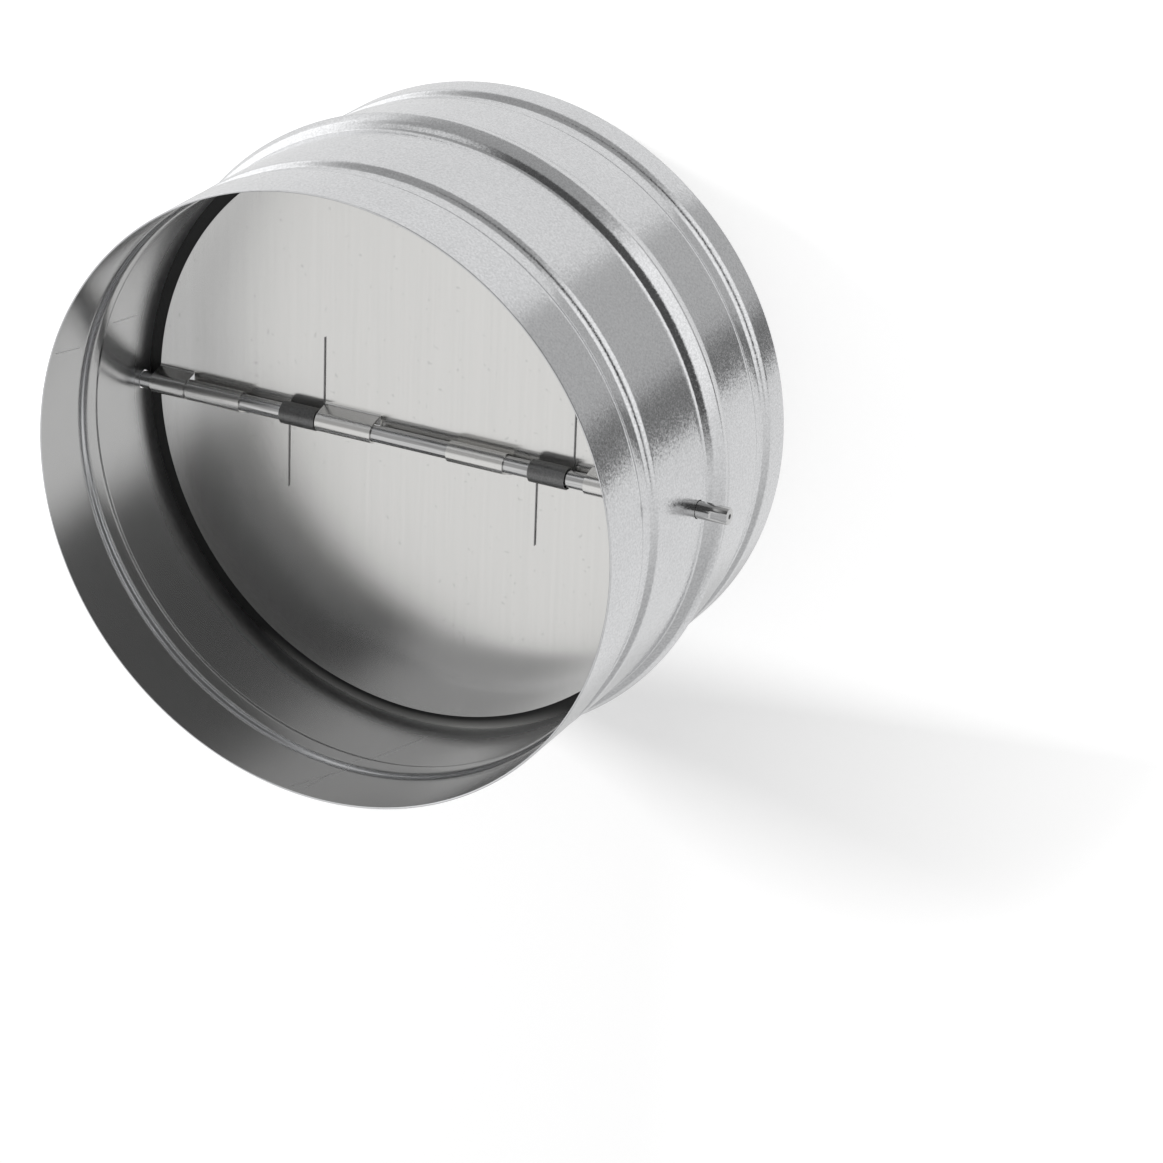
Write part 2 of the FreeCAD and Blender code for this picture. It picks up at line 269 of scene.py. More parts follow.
def cut_holes(mesh, name, cutter_mesh):
    """The mesh with the cutter's solid taken out of it."""
    holder = bpy.data.objects.new(f"{name}_uncut", mesh)
    cutter = bpy.data.objects.new(f"{name}_cutter", cutter_mesh)
    for item in (holder, cutter):
        bpy.context.scene.collection.objects.link(item)
    cut = holder.modifiers.new("holes", "BOOLEAN")
    cut.operation = "DIFFERENCE"
    cut.solver = "EXACT"
    cut.object = cutter
    graph = bpy.context.evaluated_depsgraph_get()
    result = bpy.data.meshes.new_from_object(holder.evaluated_get(graph))
    result.name = name
    for item in (holder, cutter):
        bpy.data.objects.remove(item)
    return result


def pin_hole_rod():
    """A plain closed rod along the shaft's axis, as thick as the pin holes and longer than the shaft."""
    rod = bmesh.new()
    bmesh.ops.create_cone(
        rod, cap_ends=True, segments=SHAFT_SIDES, radius1=PIN_HOLE_RADIUS, radius2=PIN_HOLE_RADIUS,
        depth=2 * SHAFT_HALF_LENGTH + 10 * MM,
    )
    turn = Matrix.Rotation(math.pi / 2, 4, "Y")
    bmesh.ops.transform(rod, matrix=Matrix.Translation((0, 0, SHAFT_LEVEL)) @ turn, verts=rod.verts)
    return outward_mesh(rod, "pin_holes")


def make_casing(material):
    """The sheet tube, turned from its bent profile, with the shaft's two holes."""
    wall = CASING_RADIUS - SHEET / 2
    corners = [(wall, 0, 0)]
    corners += groove_corners(INLET_PLAIN_END, 1)
    corners += bead_corners()
    corners += groove_corners(CASING_LENGTH - OUTLET_PLAIN_END, -1)[::-1]
    corners += [(wall, CASING_LENGTH, 0)]
    outside, inside = thicken(rounded_path(corners), SHEET)
    mesh = lathe("casing_sheet", eased_ends(outside, inside), WALL_SEGMENTS)
    mesh = cut_holes(mesh, "casing_sheet", pin_hole_rod())
    smooth_by_angle(mesh, 40)
    return make_object("casing_sheet", mesh, "casing", material, ("casing",))


def make_seal_ring(material):
    """The ring's lip is rounded, and its heel fills the bead's hollow."""
    top = ring_high.z
    under = top - LIP_THICKNESS
    hollow = CASING_RADIUS - SHEET
    crown = hollow + BEAD_SHOULDER_RISE
    corners = [
        (HEEL_RADIUS, under, HEEL_ROUND),
        (LIP_RADIUS, under, LIP_ROUND),
        (LIP_RADIUS, top, LIP_ROUND),
        (hollow + TOP_FACE_REACH, top, 0),
        (crown, BEAD_MIDDLE + BEAD_SHOULDER_REACH, CROWN_ROUND),
        (crown, BEAD_MIDDLE - BEAD_SHOULDER_REACH, CROWN_ROUND),
        (hollow + LOW_FACE_REACH, ring_low.z, 0),
    ]
    mesh = lathe("seal_rubber_ring", rounded_path(corners), RING_SEGMENTS)
    smooth_by_angle(mesh, 40)
    return make_object("seal_rubber_ring", mesh, "casing", material, ("seal_ring",))


def make_shaft(material):
    """A turned bar with two flats at each end and a punch mark in each end face."""
    end = SHAFT_HALF_LENGTH
    flat_start = end - SHAFT_FLAT_LENGTH
    half = [
        (0.0, end - PUNCH_DEPTH),
        (PUNCH_TIP_RADIUS, end - PUNCH_TIP_DEPTH),
        (PUNCH_RADIUS, end),
        (SHAFT_FACE_RADIUS, end),
        (SHAFT_EDGE_RADIUS, end - SHAFT_EDGE_DROP),
        (SHAFT_RADIUS, end - SHAFT_CHAMFER),
        (SHAFT_RADIUS, flat_start + 0.1 * MM),
        (SHAFT_RADIUS, flat_start - 0.4 * MM),
        (SHAFT_RADIUS, flat_start - 3 * MM),
    ]
    stations = [(radius, -along) for radius, along in half] + half[::-1]
    bar = bmesh.new()
    rings = []
    for radius, along in stations:
        ring = []
        for index in range(SHAFT_SIDES):
            angle = 2 * math.pi * index / SHAFT_SIDES
            up = radius * math.sin(angle)
            if abs(along) > flat_start:
                up = max(-SHAFT_FLAT_DISTANCE, min(SHAFT_FLAT_DISTANCE, up))
            ring.append(bar.verts.new((along, radius * math.cos(angle), SHAFT_LEVEL + up)))
        rings.append(ring)
    join_rings(bar, rings)
    bmesh.ops.remove_doubles(bar, verts=bar.verts, dist=1e-7)
    mesh = outward_mesh(bar, "shaft_bar")
    smooth_by_angle(mesh, 25)
    return make_object("shaft_bar", mesh, "casing", material, ("shaft",))


def knuckle_path():
    """The middle of a knuckle's strip from the plate to its rolled lip, as (Y, Z) from the shaft's axis."""
    roll = KNUCKLE_BORE + BLADE_SHEET / 2
    plate = -BLADE_SETBACK - BLADE_SHEET / 2
    distance = math.hypot(KNUCKLE_BEND_REACH, plate)
    lift = math.acos(roll / distance) - math.atan2(-plate, KNUCKLE_BEND_REACH)
    touch = Vector((roll * math.cos(lift), roll * math.sin(lift)))
    start = KNUCKLE_BEND_REACH + KNUCKLE_RELIEF
    path = rounded_path(
        [(start, plate, 0), (KNUCKLE_BEND_REACH, plate, KNUCKLE_BEND_RADIUS), (*touch, 0)]
    )
    end = 2 * math.pi - KNUCKLE_ROLL_END
    for step in range(1, KNUCKLE_STEPS + 1):
        angle = lift + (end - lift) * step / KNUCKLE_STEPS
        path.append(Vector((roll * math.cos(angle), roll * math.sin(angle))))
    return path


def blade_outline(start):
    """The plate's outline with its slits, and the left and right edge of each knuckle's root."""
    arc_start = math.asin(BLADE_HALF_GAP / BLADE_RADIUS)
    arc_end = math.pi - math.asin(start / BLADE_RADIUS)
    outline = []
    for step in range(BLADE_ARC_STEPS):
        angle = arc_start + (arc_end - arc_start) * step / BLADE_ARC_STEPS
        outline.append((BLADE_RADIUS * math.cos(angle), BLADE_RADIUS * math.sin(angle)))
    rim_end = BLADE_RADIUS * math.cos(arc_end)
    roots = []
    for middle, width in KNUCKLES:
        left = max(middle - width / 2, rim_end)
        right = middle + width / 2
        if left > rim_end:
            notch = left - KNUCKLE_SLIT
            outline += [(notch, BLADE_HALF_GAP), (notch, start)]
        outline += [(left, start), (right, start)]
        outline += [(right + KNUCKLE_SLIT, start), (right + KNUCKLE_SLIT, BLADE_HALF_GAP)]
        roots.append((left, right))
    return outline, roots


def make_blade(name, body, node, turned, material):
    """Half-round plate with notches, its knuckle strips grown from the notches' far edges."""
    start = KNUCKLE_BEND_REACH + KNUCKLE_RELIEF
    top = -BLADE_SETBACK
    under = top - BLADE_SHEET
    outline, roots = blade_outline(start)
    built = bmesh.new()
    lower_ring = [built.verts.new((across, up, under)) for across, up in outline]
    upper_ring = [built.verts.new((across, up, top)) for across, up in outline]
    built.faces.new(lower_ring[::-1])
    built.faces.new(upper_ring)
    for index, (across, up) in enumerate(outline):
        other = (index + 1) % len(outline)
        is_root = (across, outline[other][0]) in roots and up == start
        if not is_root:
            built.faces.new((lower_ring[index], lower_ring[other], upper_ring[other], upper_ring[index]))
    above, below = thicken(knuckle_path(), BLADE_SHEET)
    if above[0].y < below[0].y:
        above, below = below, above
    for left, right in roots:
        rings = []
        for over, beneath in zip(above, below):
            ends = ((left, over), (right, over), (right, beneath), (left, beneath))
            rings.append([built.verts.new((across, place.x, place.y)) for across, place in ends])
        join_rings(built, rings)
        built.faces.new(rings[-1])
    bmesh.ops.remove_doubles(built, verts=built.verts, dist=1e-6)
    place = Matrix.Translation((0, 0, SHAFT_LEVEL)) @ Matrix.Rotation(turned, 4, "Z")
    bmesh.ops.transform(built, matrix=place, verts=built.verts)
    mesh = outward_mesh(built, name)
    smooth_by_angle(mesh, 40)
    piece = make_object(name, mesh, body, material, (node,))
    bevel = piece.modifiers.new("edges", "BEVEL")
    bevel.width = EDGE_BEVEL
    bevel.segments = 2
    bevel.limit_method = "ANGLE"
    bevel.angle_limit = math.radians(50)
    bevel.harden_normals = True
    return piece


def tube(name, path, radius, sides=8):
    """A closed round tube along a list of points."""
    built = bmesh.new()
    normal = None
    rings = []
    for index, place in enumerate(path):
        back = path[max(index - 1, 0)]
        ahead = path[min(index + 1, len(path) - 1)]
        along = (ahead - back).normalized()
        if normal is None:
            normal = along.orthogonal()
        normal = (normal - along * normal.dot(along)).normalized()
        across = along.cross(normal)
        ring = []
        for side in range(sides):
            angle = 2 * math.pi * side / sides
            offset = normal * math.cos(angle) + across * math.sin(angle)
            ring.append(built.verts.new(place + offset * radius))
        rings.append(ring)
    join_rings(built, rings)
    built.faces.new(rings[0][::-1])
    built.faces.new(rings[-1])
    mesh = outward_mesh(built, name)
    smooth_by_angle(mesh, 50)
    return mesh


def make_spring_half(side, place, blade, direction, material, replaced):
    """Half a torsion spring, from its middle turn out to its leg, which lies on one blade."""
    count = int(HALF_TURNS * TURN_STEPS)
    path = []
    for step in range(count + 1):
        share = step / count
        angle = -math.pi / 2 + direction * 2 * math.pi * HALF_TURNS * (share - 1)
        along = place + direction * share * HALF_TURNS * COIL_PITCH
        up = SHAFT_LEVEL + COIL_RADIUS * math.sin(angle)
        path.append(Vector((along, COIL_RADIUS * math.cos(angle), up)))
    foot = path[-1]
    for step in range(1, LEG_STEPS + 1):
        path.append(foot + Vector((0, direction * LEG_LENGTH * step / LEG_STEPS, 0)))
    name = f"spring_{side}_{blade}"
    mesh = tube(name, path, WIRE_RADIUS)
    piece = make_object(name, mesh, None, material, replaced)
    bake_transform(piece)
    return piece


# Materials

# Zinc sheet: the spangle's tilt and roughness outside, the smoother wall inside
SPANGLE_LEAN = 0.05
SPANGLE_ROUGHNESS = (0.09, 0.26)
FLECK_INSIDE = 0.1
FLECK_OUTSIDE = 0.8
INSIDE_ROUGHNESS = 0.20
# Painted shade in each groove's crease: the dark line's half width and its darkness
CREASE_HALF_WIDTH = 0.14 * MM
CREASE_PAINTED_SHADE = 0.12

# The wall is duller just above the ring, fading out between these levels
DULL_START = 57.0 * MM
DULL_END = 76.0 * MM
DULL_ROUGHNESS = 0.36

# The stain on the cut edge of the outlet rim reaches this far down
EDGE_STAIN = 0.30 * MM
EDGE_SHADE = 0.35

# Scratches inside the wall, each from one (turn in degrees, level in mm) to another
SCRATCHES = (
    ((264.5, 119), (270, 98)),
    ((267, 117), (268, 104)),
    ((270, 96), (277, 63)),
    ((163, 119), (165, 104)),
    ((163.5, 86), (165, 71)),
)
SCRATCH_WIDTH = 0.28 * MM
SCRATCH_ROUGHNESS = 0.22

# Painted sheen: the rubber's outer edge is painted paler on one side of the ring
SHEEN_RADII = (96.0 * MM, 98.8 * MM)
SHEEN_SIDE = (-80.0 * MM, -97.0 * MM)
PAINTED_SHEEN_COLOUR = (0.30, 0.30, 0.29, 1)

MEASURES = ("DOT_PRODUCT", "LENGTH", "DISTANCE")
WHITE = (1, 1, 1, 1)


def add(tree, kind, settings=None, **inputs):
    """A shader node with properties set and inputs given as values or as sockets to link."""
    node = tree.nodes.new(kind)
    for key, value in (settings or {}).items():
        setattr(node, key, value)
    for key, value in inputs.items():
        socket = node.inputs[int(key[1:])] if key[0] == "_" else node.inputs[key.replace("_", " ")]
        if isinstance(value, bpy.types.NodeSocket):
            tree.links.new(value, socket)
        else:
            socket.default_value = value
    return node


def maths(tree, operation, *values):
    """One step of arithmetic on numbers or sockets."""
    inputs = {f"_{index}": value for index, value in enumerate(values)}
    return add(tree, "ShaderNodeMath", {"operation": operation}, **inputs).outputs[0]


def vector_maths(tree, operation, *values, **named):
    """One step of vector arithmetic, which gives a number for a length, distance or dot product."""
    inputs = {f"_{index}": value for index, value in enumerate(values)}
    node = add(tree, "ShaderNodeVectorMath", {"operation": operation}, **inputs, **named)
    return node.outputs["Value" if operation in MEASURES else "Vector"]


def spread(tree, value, low, high, first=0.0, last=1.0, blend="LINEAR"):
    """Map a value that runs from first to last onto the range from low to high."""
    return add(
        tree, "ShaderNodeMapRange", {"interpolation_type": blend}, Value=value,
        From_Min=first, From_Max=last, To_Min=low, To_Max=high,
    ).outputs["Result"]


def ramp(tree, value, stops):
    """A colour ramp of (place, grey or colour) stops."""
    node = add(tree, "ShaderNodeValToRGB", Fac=value)
    band = node.color_ramp
    while len(band.elements) < len(stops):
        band.elements.new(0.5)
    for element, (place, shade) in zip(band.elements, stops):
        element.position = place
        element.color = (*shade, 1) if isinstance(shade, tuple) else (shade, shade, shade, 1)
    return node.outputs["Color"]


def multiplied(tree, first, second, share=1.0):
    """One colour times another, or times a share of it."""
    settings = {"data_type": "RGBA", "blend_type": "MULTIPLY"}
    return add(tree, "ShaderNodeMix", settings, _0=share, _6=first, _7=second).outputs[2]


def object_place(tree):
    return tree.nodes.new("ShaderNodeTexCoord").outputs["Object"]


def separated(tree, place):
    """The X, Y and Z of a place."""
    return tuple(add(tree, "ShaderNodeSeparateXYZ", Vector=place).outputs)


def start_material(name):
    material = bpy.data.materials.new(name)
    material.use_nodes = True
    tree = material.node_tree
    tree.nodes.clear()
    output = tree.nodes.new("ShaderNodeOutputMaterial")
    shader = tree.nodes.new("ShaderNodeBsdfPrincipled")
    tree.links.new(shader.outputs["BSDF"], output.inputs["Surface"])
    return material, tree, shader


def finish_material(tree, shader, colour, roughness, bump, metallic=1.0):
    """Link a material's colour, roughness and bump to its shader."""
    tree.links.new(colour, shader.inputs["Base Color"])
    tree.links.new(roughness, shader.inputs["Roughness"])
    if bump:
        tree.links.new(bump.outputs["Normal"], shader.inputs["Normal"])
    shader.inputs["Metallic"].default_value = metallic


def scratch(tree, unrolled, start, end):
    """A fine straight mark on the unrolled wall, from one (turn in degrees, level in mm) to another."""
    first, last = (
        Vector((math.radians(turn) * CASING_RADIUS, level * MM, 0)) for turn, level in (start, end)
    )
    run = last - first
    offset = vector_maths(tree, "SUBTRACT", unrolled, tuple(first))
    along = vector_maths(tree, "DOT_PRODUCT", offset, tuple(run / run.length_squared))
    held = add(tree, "ShaderNodeClamp", Value=along).outputs[0]
    nearest = vector_maths(tree, "SCALE", tuple(run), Scale=held)
    away = vector_maths(tree, "DISTANCE", offset, nearest)
    return spread(tree, away, 1.0, 0.0, last=SCRATCH_WIDTH)


def crease_shade_and_rim_stain(tree, level):
    """Colour by level: painted shade, a dark line in each groove's crease on its slope towards the inlet,
    and the stained rim.
    """
    outlet_crease = CASING_LENGTH - OUTLET_PLAIN_END - GROOVE_FLOOR - GROOVE_SLOPE * 1.5
    stops = []
    for crease in (INLET_PLAIN_END + GROOVE_SLOPE / 2, outlet_crease):
        for offset, shade in ((-CREASE_HALF_WIDTH, 1.0), (0.0, CREASE_PAINTED_SHADE), (CREASE_HALF_WIDTH, 1.0)):
            stops.append(((crease + offset) / CASING_LENGTH, shade))
    rim = ((EDGE_STAIN + 0.05 * MM, 1.0), (EDGE_STAIN, EDGE_SHADE), (0.04 * MM, EDGE_SHADE), (0.0, 0.9))
    stops += [(1 - below / CASING_LENGTH, shade) for below, shade in rim]
    return ramp(tree, maths(tree, "DIVIDE", level, CASING_LENGTH), stops)


def inside_roughness(tree, turn, level):
    """The wall's roughness inside: duller above the ring, with a few scratches."""
    rough = spread(tree, level, DULL_ROUGHNESS, INSIDE_ROUGHNESS, DULL_START, DULL_END, "SMOOTHSTEP")
    full_turn = maths(tree, "FLOORED_MODULO", turn, 2 * math.pi)
    arc = maths(tree, "MULTIPLY", full_turn, CASING_RADIUS)
    unrolled = add(tree, "ShaderNodeCombineXYZ", X=arc, Y=level).outputs[0]
    for start, end in SCRATCHES:
        mark = scratch(tree, unrolled, start, end)
        rough = maths(tree, "MULTIPLY_ADD", mark, SCRATCH_ROUGHNESS, rough)
    return rough


def galvanised_sheet():
    """Zinc coating: a fine spangle outside, a smoother wall inside, and rolling lines round both."""
    material, tree, shader = start_material("galvanised_sheet")
    place = object_place(tree)
    x, y, level = separated(tree, place)
    turn = maths(tree, "ARCTAN2", y, x)
    facing = tree.nodes.new("ShaderNodeNewGeometry").outputs["Normal"]
    radial = add(tree, "ShaderNodeCombineXYZ", X=x, Y=y).outputs[0]
    outside = maths(tree, "GREATER_THAN", vector_maths(tree, "DOT_PRODUCT", facing, radial), 0.0)
    grain = add(tree, "ShaderNodeTexNoise", Vector=place, Scale=1300.0, Detail=2.0, Roughness=0.6)
    spangle = add(tree, "ShaderNodeTexVoronoi", Vector=place, Scale=2300.0, Randomness=1.0)

    clouds = add(tree, "ShaderNodeTexNoise", Vector=place, Scale=28.0, Detail=4.0, Roughness=0.6)
    tone = ramp(tree, clouds.outputs["Fac"], [(0.3, (0.685, 0.69, 0.70)), (0.7, (0.72, 0.725, 0.735))])
    fleck_tone = ramp(tree, grain.outputs["Fac"], [(0.35, 0.87), (0.65, 1.08)])
    flecked = multiplied(tree, tone, fleck_tone, spread(tree, outside, FLECK_INSIDE, FLECK_OUTSIDE))
    # The colour is darkened by the painted crease shade and by the rim's stain
    colour = multiplied(tree, flecked, crease_shade_and_rim_stain(tree, level))

    cell = add(tree, "ShaderNodeSeparateColor", Color=spangle.outputs["Color"]).outputs[0]
    rough = add(
        tree, "ShaderNodeMix", {"data_type": "FLOAT"},
        _0=outside, _2=inside_roughness(tree, turn, level), _3=spread(tree, cell, *SPANGLE_ROUGHNESS),
    )

    flecks = vector_maths(tree, "ADD", spangle.outputs["Color"], grain.outputs["Color"])
    centred = vector_maths(tree, "SUBTRACT", flecks, (1.0, 1.0, 1.0))
    amount = spread(tree, outside, SPANGLE_LEAN / 20, SPANGLE_LEAN)
    lean = vector_maths(tree, "SCALE", centred, Scale=amount)
    normal = vector_maths(tree, "NORMALIZE", vector_maths(tree, "ADD", facing, lean))
    around = maths(tree, "MULTIPLY", turn, 0.004)
    rolled = add(tree, "ShaderNodeCombineXYZ", X=around, Y=level)
    lines = add(tree, "ShaderNodeTexNoise", Vector=rolled.outputs[0], Scale=2200.0, Detail=3.0)
    bump = add(
        tree, "ShaderNodeBump", Strength=0.5, Distance=0.03 * MM, Height=lines.outputs["Fac"], Normal=normal
    )
    finish_material(tree, shader, colour, rough.outputs[0], bump)
    return material


def rolled_aluminium():
    """Mill-finished sheet: very fine grain along Y, faint cloudy patches and a few pin-point specks."""
    material, tree, shader = start_material("blade_sheet")
    place = object_place(tree)
    stretch = add(tree, "ShaderNodeMapping", Vector=place, Scale=(1.0, 0.02, 1.0)).outputs[0]
    grain = add(tree, "ShaderNodeTexNoise", Vector=stretch, Scale=4200.0, Detail=3.0, Roughness=0.6)
    streaks = add(tree, "ShaderNodeTexNoise", Vector=stretch, Scale=650.0, Detail=4.0, Roughness=0.7)
    clouds = add(tree, "ShaderNodeTexNoise", Vector=place, Scale=22.0, Detail=3.0)
    specks = add(tree, "ShaderNodeTexNoise", Vector=place, Scale=520.0, Detail=1.0)
    tone = ramp(tree, streaks.outputs["Fac"], [(0.3, (0.720, 0.715, 0.70)), (0.7, (0.745, 0.74, 0.725))])
    speck_tone = ramp(tree, specks.outputs["Fac"], [(0.24, 0.90), (0.30, 1.0)])
    rough = maths(
        tree, "ADD",
        spread(tree, grain.outputs["Fac"], 0.15, 0.21), spread(tree, clouds.outputs["Fac"], 0.0, 0.06),
    )
    shader.inputs["Anisotropic"].default_value = 0.85
    across = add(tree, "ShaderNodeCombineXYZ", X=1.0)
    tree.links.new(across.outputs[0], shader.inputs["Tangent"])
    bump = add(tree, "ShaderNodeBump", Strength=0.10, Distance=0.01 * MM, Height=grain.outputs["Fac"])
    finish_material(tree, shader, multiplied(tree, tone, speck_tone), rough, bump)
    return material


def bright_bar():
    """Drawn bar: draw lines along X, with painted shade in and round the punch marks."""
    material, tree, shader = start_material("bright_bar")
    place = object_place(tree)
    stretch = add(tree, "ShaderNodeMapping", Vector=place, Scale=(0.03, 1.0, 1.0))
    lines = add(tree, "ShaderNodeTexNoise", Vector=stretch.outputs[0], Scale=3000.0, Detail=3.0)
    tone = ramp(tree, lines.outputs["Fac"], [(0.3, 0.50), (0.7, 0.66)])
    y, z = separated(tree, place)[1:]
    across = add(tree, "ShaderNodeCombineXYZ", X=y, Y=maths(tree, "SUBTRACT", z, SHAFT_LEVEL))
    off_axis = vector_maths(tree, "LENGTH", across.outputs[0])
    from_punch = spread(tree, off_axis, 0.0, 1.0, last=2 * PUNCH_RADIUS)
    # Painted shade: dark in and round each punch mark in the end faces
    punch_painted_shade = ramp(tree, from_punch, [(0.35, 0.12), (0.52, 0.30), (0.60, 1.0)])
    rough = spread(tree, lines.outputs["Fac"], 0.10, 0.22)
    bump = add(tree, "ShaderNodeBump", Strength=0.15, Distance=0.02 * MM, Height=lines.outputs["Fac"])
    finish_material(tree, shader, multiplied(tree, tone, punch_painted_shade), rough, bump)
    return material


def spring_wire():
    """Oiled dark wire."""
    material, tree, shader = start_material("spring_wire")
    mottle = add(tree, "ShaderNodeTexNoise", Vector=object_place(tree), Scale=1800.0, Detail=3.0)
    tone = ramp(tree, mottle.outputs["Fac"], [(0.3, 0.22), (0.7, 0.32)])
    finish_material(tree, shader, tone, spread(tree, mottle.outputs["Fac"], 0.30, 0.42), None)
    return material


def seal_rubber():
    """Matt black rubber with a faint moulded texture and a pale painted sheen on one side of its outer edge.
    """
    material, tree, shader = start_material("seal_rubber")
    place = object_place(tree)
    skin = add(tree, "ShaderNodeTexNoise", Vector=place, Scale=1500.0, Detail=3.0)
    tone = ramp(tree, skin.outputs["Fac"], [(0.3, 0.010), (0.7, 0.020)])
    x, y = separated(tree, place)[:2]
    radius = vector_maths(tree, "LENGTH", add(tree, "ShaderNodeCombineXYZ", X=x, Y=y).outputs[0])
    # Painted sheen: the outer edge turns paler towards the -Y side of the ring
    outer = spread(tree, radius, 0.0, 1.0, *SHEEN_RADII)
    painted_sheen = maths(tree, "MULTIPLY", outer, spread(tree, y, 0.0, 1.0, *SHEEN_SIDE))
    colour = add(tree, "ShaderNodeMix", {"data_type": "RGBA"}, _0=painted_sheen, _6=tone, _7=PAINTED_SHEEN_COLOUR)
    rough = spread(tree, skin.outputs["Fac"], 0.55, 0.75)
    bump = add(tree, "ShaderNodeBump", Strength=0.3, Distance=0.04 * MM, Height=skin.outputs["Fac"])
    finish_material(tree, shader, colour.outputs[2], rough, bump, metallic=0.0)
    return material


# Studio: floor, world, lamp and camera

# What the metal sees: a white tent and the cards in it, later ones over earlier ones. Each card has the
# azimuth and elevation of its middle, its half width and half height, how far its sides and its ends fade,
# all in degrees, and its brightness.
TENT_SHADE = 0.88
CARDS = (
    (180, 0, 25, 28, 35, 12, 1.5),  # lit sweep behind the damper
    (-75, -5, 30, 24, 40, 10, 0.55),  # grey wall on the right
    (95, -15, 25, 18, 25, 10, 0.40),  # grey wall on the left
    (28, -20, 14, 13, 22, 8, 1.15),  # lit strip of table in front
    (125, 55, 30, 15, 35, 12, 0.45),  # dim edge of the tent on the left
    (48, 40, 44, 31, 22, 8, 0.09),  # unlit room on the camera's side
    (22, -55, 32, 12, 8, 8, 0.52),  # table in the camera's shade
    (-3, -55, 8, 12, 8, 8, 0.20),  # darkest part of that shade
    (-60, -55, 46, 12, 5, 8, 0.87),  # bright table beside it
    (-110, -55, 4, 12, 25, 8, 0.62),  # the damper's own shadow
)
SKY_LIGHT = 0.56

# The floor glows towards white for the camera: less near the damper, so that its shadow stays, and more
# across the far edge and the side edge, painted light that whitens the shadow there.
FLOOR_SIZE = 6.0
FLOOR_SHADE = 0.80
SHADOW_LIFT = 0.30
FAR_LIFT = 0.60
SIDE_LIFT = 0.55
FAR_EDGE = (-104.0 * MM, -70.0 * MM)
SIDE_EDGE = (60.0 * MM, 240.0 * MM)

KEY_PLACE = (-1.9, 0.6, 1.5)
KEY_TARGET = (0, 0, 0.05)
KEY_SIDE = 0.6
KEY_POWER = 34.0

CAMERA_PLACE = (0.5941, 0.5250, 1.1515)
CAMERA_RIGHT = (0.89034, 0.03552, -0.45391)
CAMERA_UP = (-0.21881, 0.90766, -0.35816)
CAMERA_BACK = (0.39928, 0.41821, 0.81589)
CAMERA_SENSOR = 36.0
CAMERA_LENS = 133.03


def make_floor():
    """A white floor whose glow towards white, only for what the camera sees round the casing, is painted
    light that whitens its shadow past the far and side edges.
    """
    mesh = bpy.data.meshes.new("floor")
    half = FLOOR_SIZE / 2
    corners = [(-half, -half, 0), (half, -half, 0), (half, half, 0), (-half, half, 0)]
    mesh.from_pydata(corners, [], [(0, 1, 2, 3)])
    floor = bpy.data.objects.new("floor", mesh)
    bpy.context.scene.collection.objects.link(floor)
    floor.visible_glossy = False
    material = bpy.data.materials.new("floor_white")
    material.use_nodes = True
    tree = material.node_tree
    tree.nodes.clear()
    output = tree.nodes.new("ShaderNodeOutputMaterial")
    path = tree.nodes.new("ShaderNodeLightPath")
    seen = maths(tree, "MAXIMUM", path.outputs["Is Camera Ray"], path.outputs["Is Transmission Ray"])
    place = object_place(tree)
    x, y = separated(tree, place)[:2]
    # Painted light: past these edges the stronger glow whitens the damper's shadow
    far = spread(tree, y, SHADOW_LIFT, FAR_LIFT, *FAR_EDGE, "SMOOTHSTEP")
    aside = spread(tree, x, SHADOW_LIFT, SIDE_LIFT, *SIDE_EDGE)
    most = maths(tree, "MAXIMUM", far, aside)
    open_floor = maths(tree, "GREATER_THAN", vector_maths(tree, "LENGTH", place), CASING_RADIUS)
    lift = maths(tree, "MULTIPLY", seen, maths(tree, "MULTIPLY", open_floor, most))
    matt = add(tree, "ShaderNodeBsdfDiffuse", Color=(FLOOR_SHADE, FLOOR_SHADE, FLOOR_SHADE, 1))
    glow = add(tree, "ShaderNodeEmission", Color=WHITE, Strength=lift)
    both = add(tree, "ShaderNodeAddShader", _0=matt.outputs[0], _1=glow.outputs[0])
    tree.links.new(both.outputs[0], output.inputs["Surface"])
    mesh.materials.append(material)
    return floor


def card_share(tree, angle, middle, half, fade):
    """How much of a card lies at an angle: 1 up to its half width and 0 where it has faded, in degrees."""
    offset = maths(tree, "SUBTRACT", angle, math.radians(middle))
    away = maths(tree, "ABSOLUTE", maths(tree, "WRAP", offset, math.pi, -math.pi))
    return spread(tree, away, 1.0, 0.0, math.radians(half), math.radians(half + fade), "SMOOTHSTEP")


def tent_and_cards(tree):
    """Brightness of the tent and its cards in each direction."""
    x, y, z = separated(tree, tree.nodes.new("ShaderNodeTexCoord").outputs["Generated"])
    turn = maths(tree, "ARCTAN2", y, x)
    rise = maths(tree, "ARCSINE", z)
    shade = TENT_SHADE
    for azimuth, elevation, half_width, half_height, side_fade, end_fade, brightness in CARDS:
        wide = card_share(tree, turn, azimuth, half_width, side_fade)
        tall = card_share(tree, rise, elevation, half_height, end_fade)
        cover = maths(tree, "MULTIPLY", wide, tall)
        over = add(tree, "ShaderNodeMix", {"data_type": "FLOAT"}, _0=cover, _2=shade, _3=brightness)
        shade = over.outputs[0]
    return shade


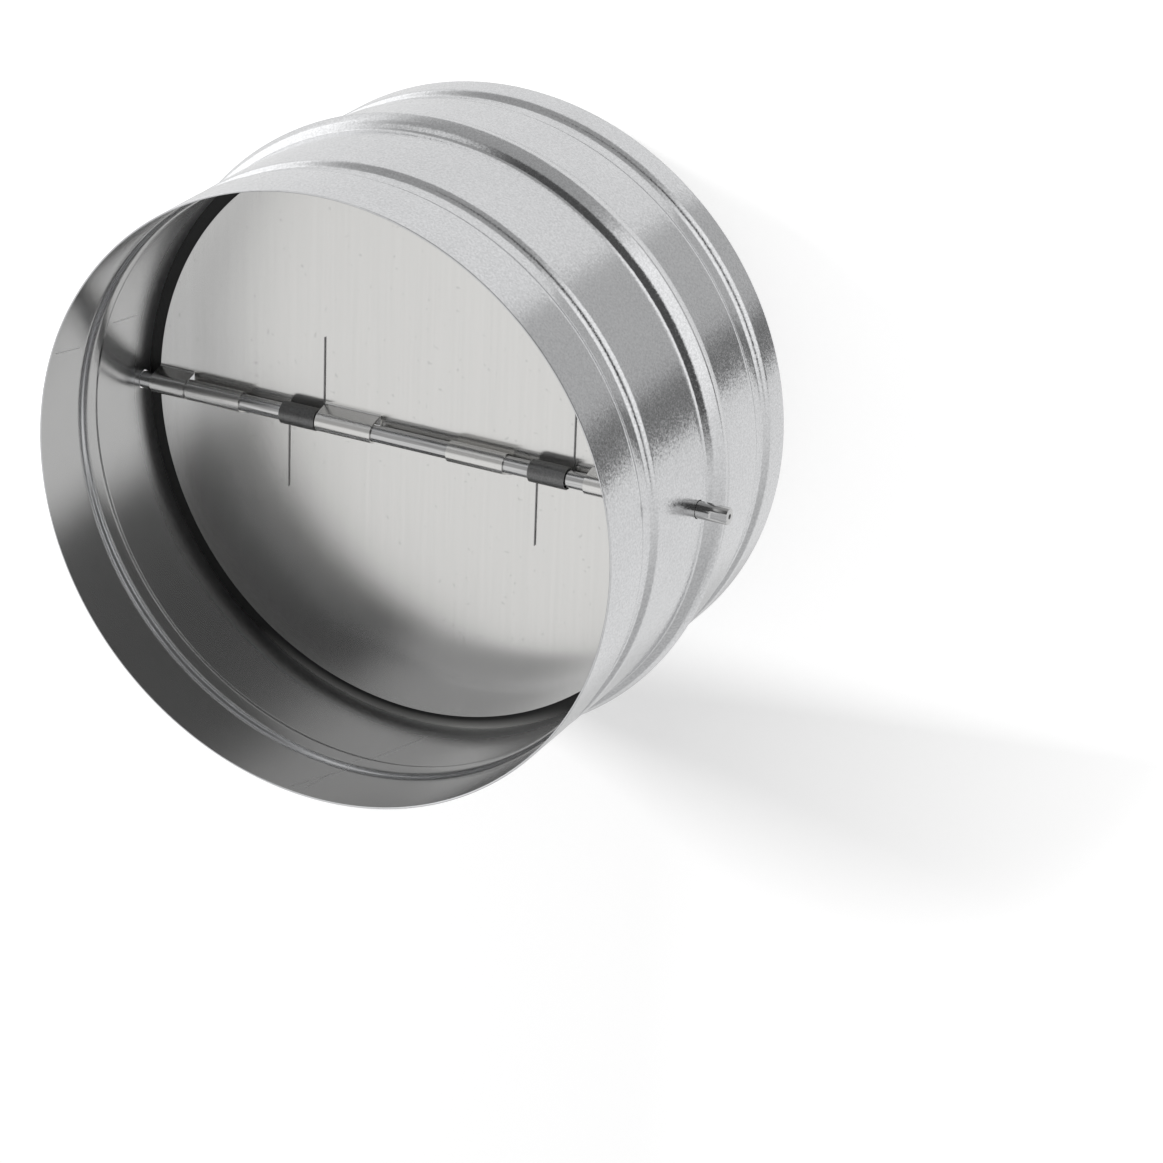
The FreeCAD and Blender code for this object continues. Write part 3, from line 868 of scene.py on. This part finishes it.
def make_world():
    """A tent with cards for the metal; the camera sees plain white and matt surfaces get even light."""
    world = bpy.data.worlds.new("studio")
    bpy.context.scene.world = world
    world.use_nodes = True
    tree = world.node_tree
    tree.nodes.clear()
    output = tree.nodes.new("ShaderNodeOutputWorld")
    mirrored, even, white = (
        add(tree, "ShaderNodeBackground", Color=WHITE, Strength=strength).outputs[0]
        for strength in (tent_and_cards(tree), SKY_LIGHT, 1.0)
    )
    path = tree.nodes.new("ShaderNodeLightPath").outputs
    plain = add(tree, "ShaderNodeMixShader", _0=path["Is Diffuse Ray"], _1=mirrored, _2=even)
    both = add(tree, "ShaderNodeMixShader", _0=path["Is Camera Ray"], _1=plain.outputs[0], _2=white)
    tree.links.new(both.outputs[0], output.inputs["Surface"])


def make_key_lamp():
    """A square soft lamp that lights matt surfaces and isn't mirrored."""
    lamp = bpy.data.lights.new("key", "AREA")
    lamp.shape = "SQUARE"
    lamp.size = KEY_SIDE
    lamp.energy = KEY_POWER
    holder = bpy.data.objects.new("key", lamp)
    holder.location = KEY_PLACE
    aim = Vector(KEY_TARGET) - Vector(KEY_PLACE)
    holder.rotation_mode = "QUATERNION"
    holder.rotation_quaternion = aim.to_track_quat("-Z", "Y")
    holder.visible_glossy = False
    bpy.context.scene.collection.objects.link(holder)
    return holder


def make_camera():
    """The camera looks into the outlet from above, rolled as the reference view is."""
    camera = bpy.data.cameras.new("camera")
    camera.sensor_width = CAMERA_SENSOR
    camera.lens = CAMERA_LENS
    camera.clip_start = 0.05
    camera.clip_end = 50.0
    holder = bpy.data.objects.new("camera", camera)
    turn = Matrix((CAMERA_RIGHT, CAMERA_UP, CAMERA_BACK)).transposed()
    holder.matrix_world = Matrix.Translation(CAMERA_PLACE) @ turn.to_4x4()
    bpy.context.scene.collection.objects.link(holder)
    bpy.context.scene.camera = holder
    return holder


zinc = galvanised_sheet()
aluminium = rolled_aluminium()
steel = bright_bar()
wire = spring_wire()
rubber = seal_rubber()

make_casing(zinc)
make_seal_ring(rubber)
make_shaft(steel)
make_blade("blade_upper_sheet", "blade_upper", "blade_upper", 0.0, aluminium)
make_blade("blade_lower_sheet", "blade_lower", "blade_lower", math.pi, aluminium)
for side, place in SPRINGS.items():
    make_spring_half(side, place, "blade_upper", 1, wire, (f"spring_{side}",))
    make_spring_half(side, place, "blade_lower", -1, wire, (f"spring_{side}",))

make_floor()
make_world()
make_key_lamp()
make_camera()

bpy.context.scene.view_settings.view_transform = "Standard"
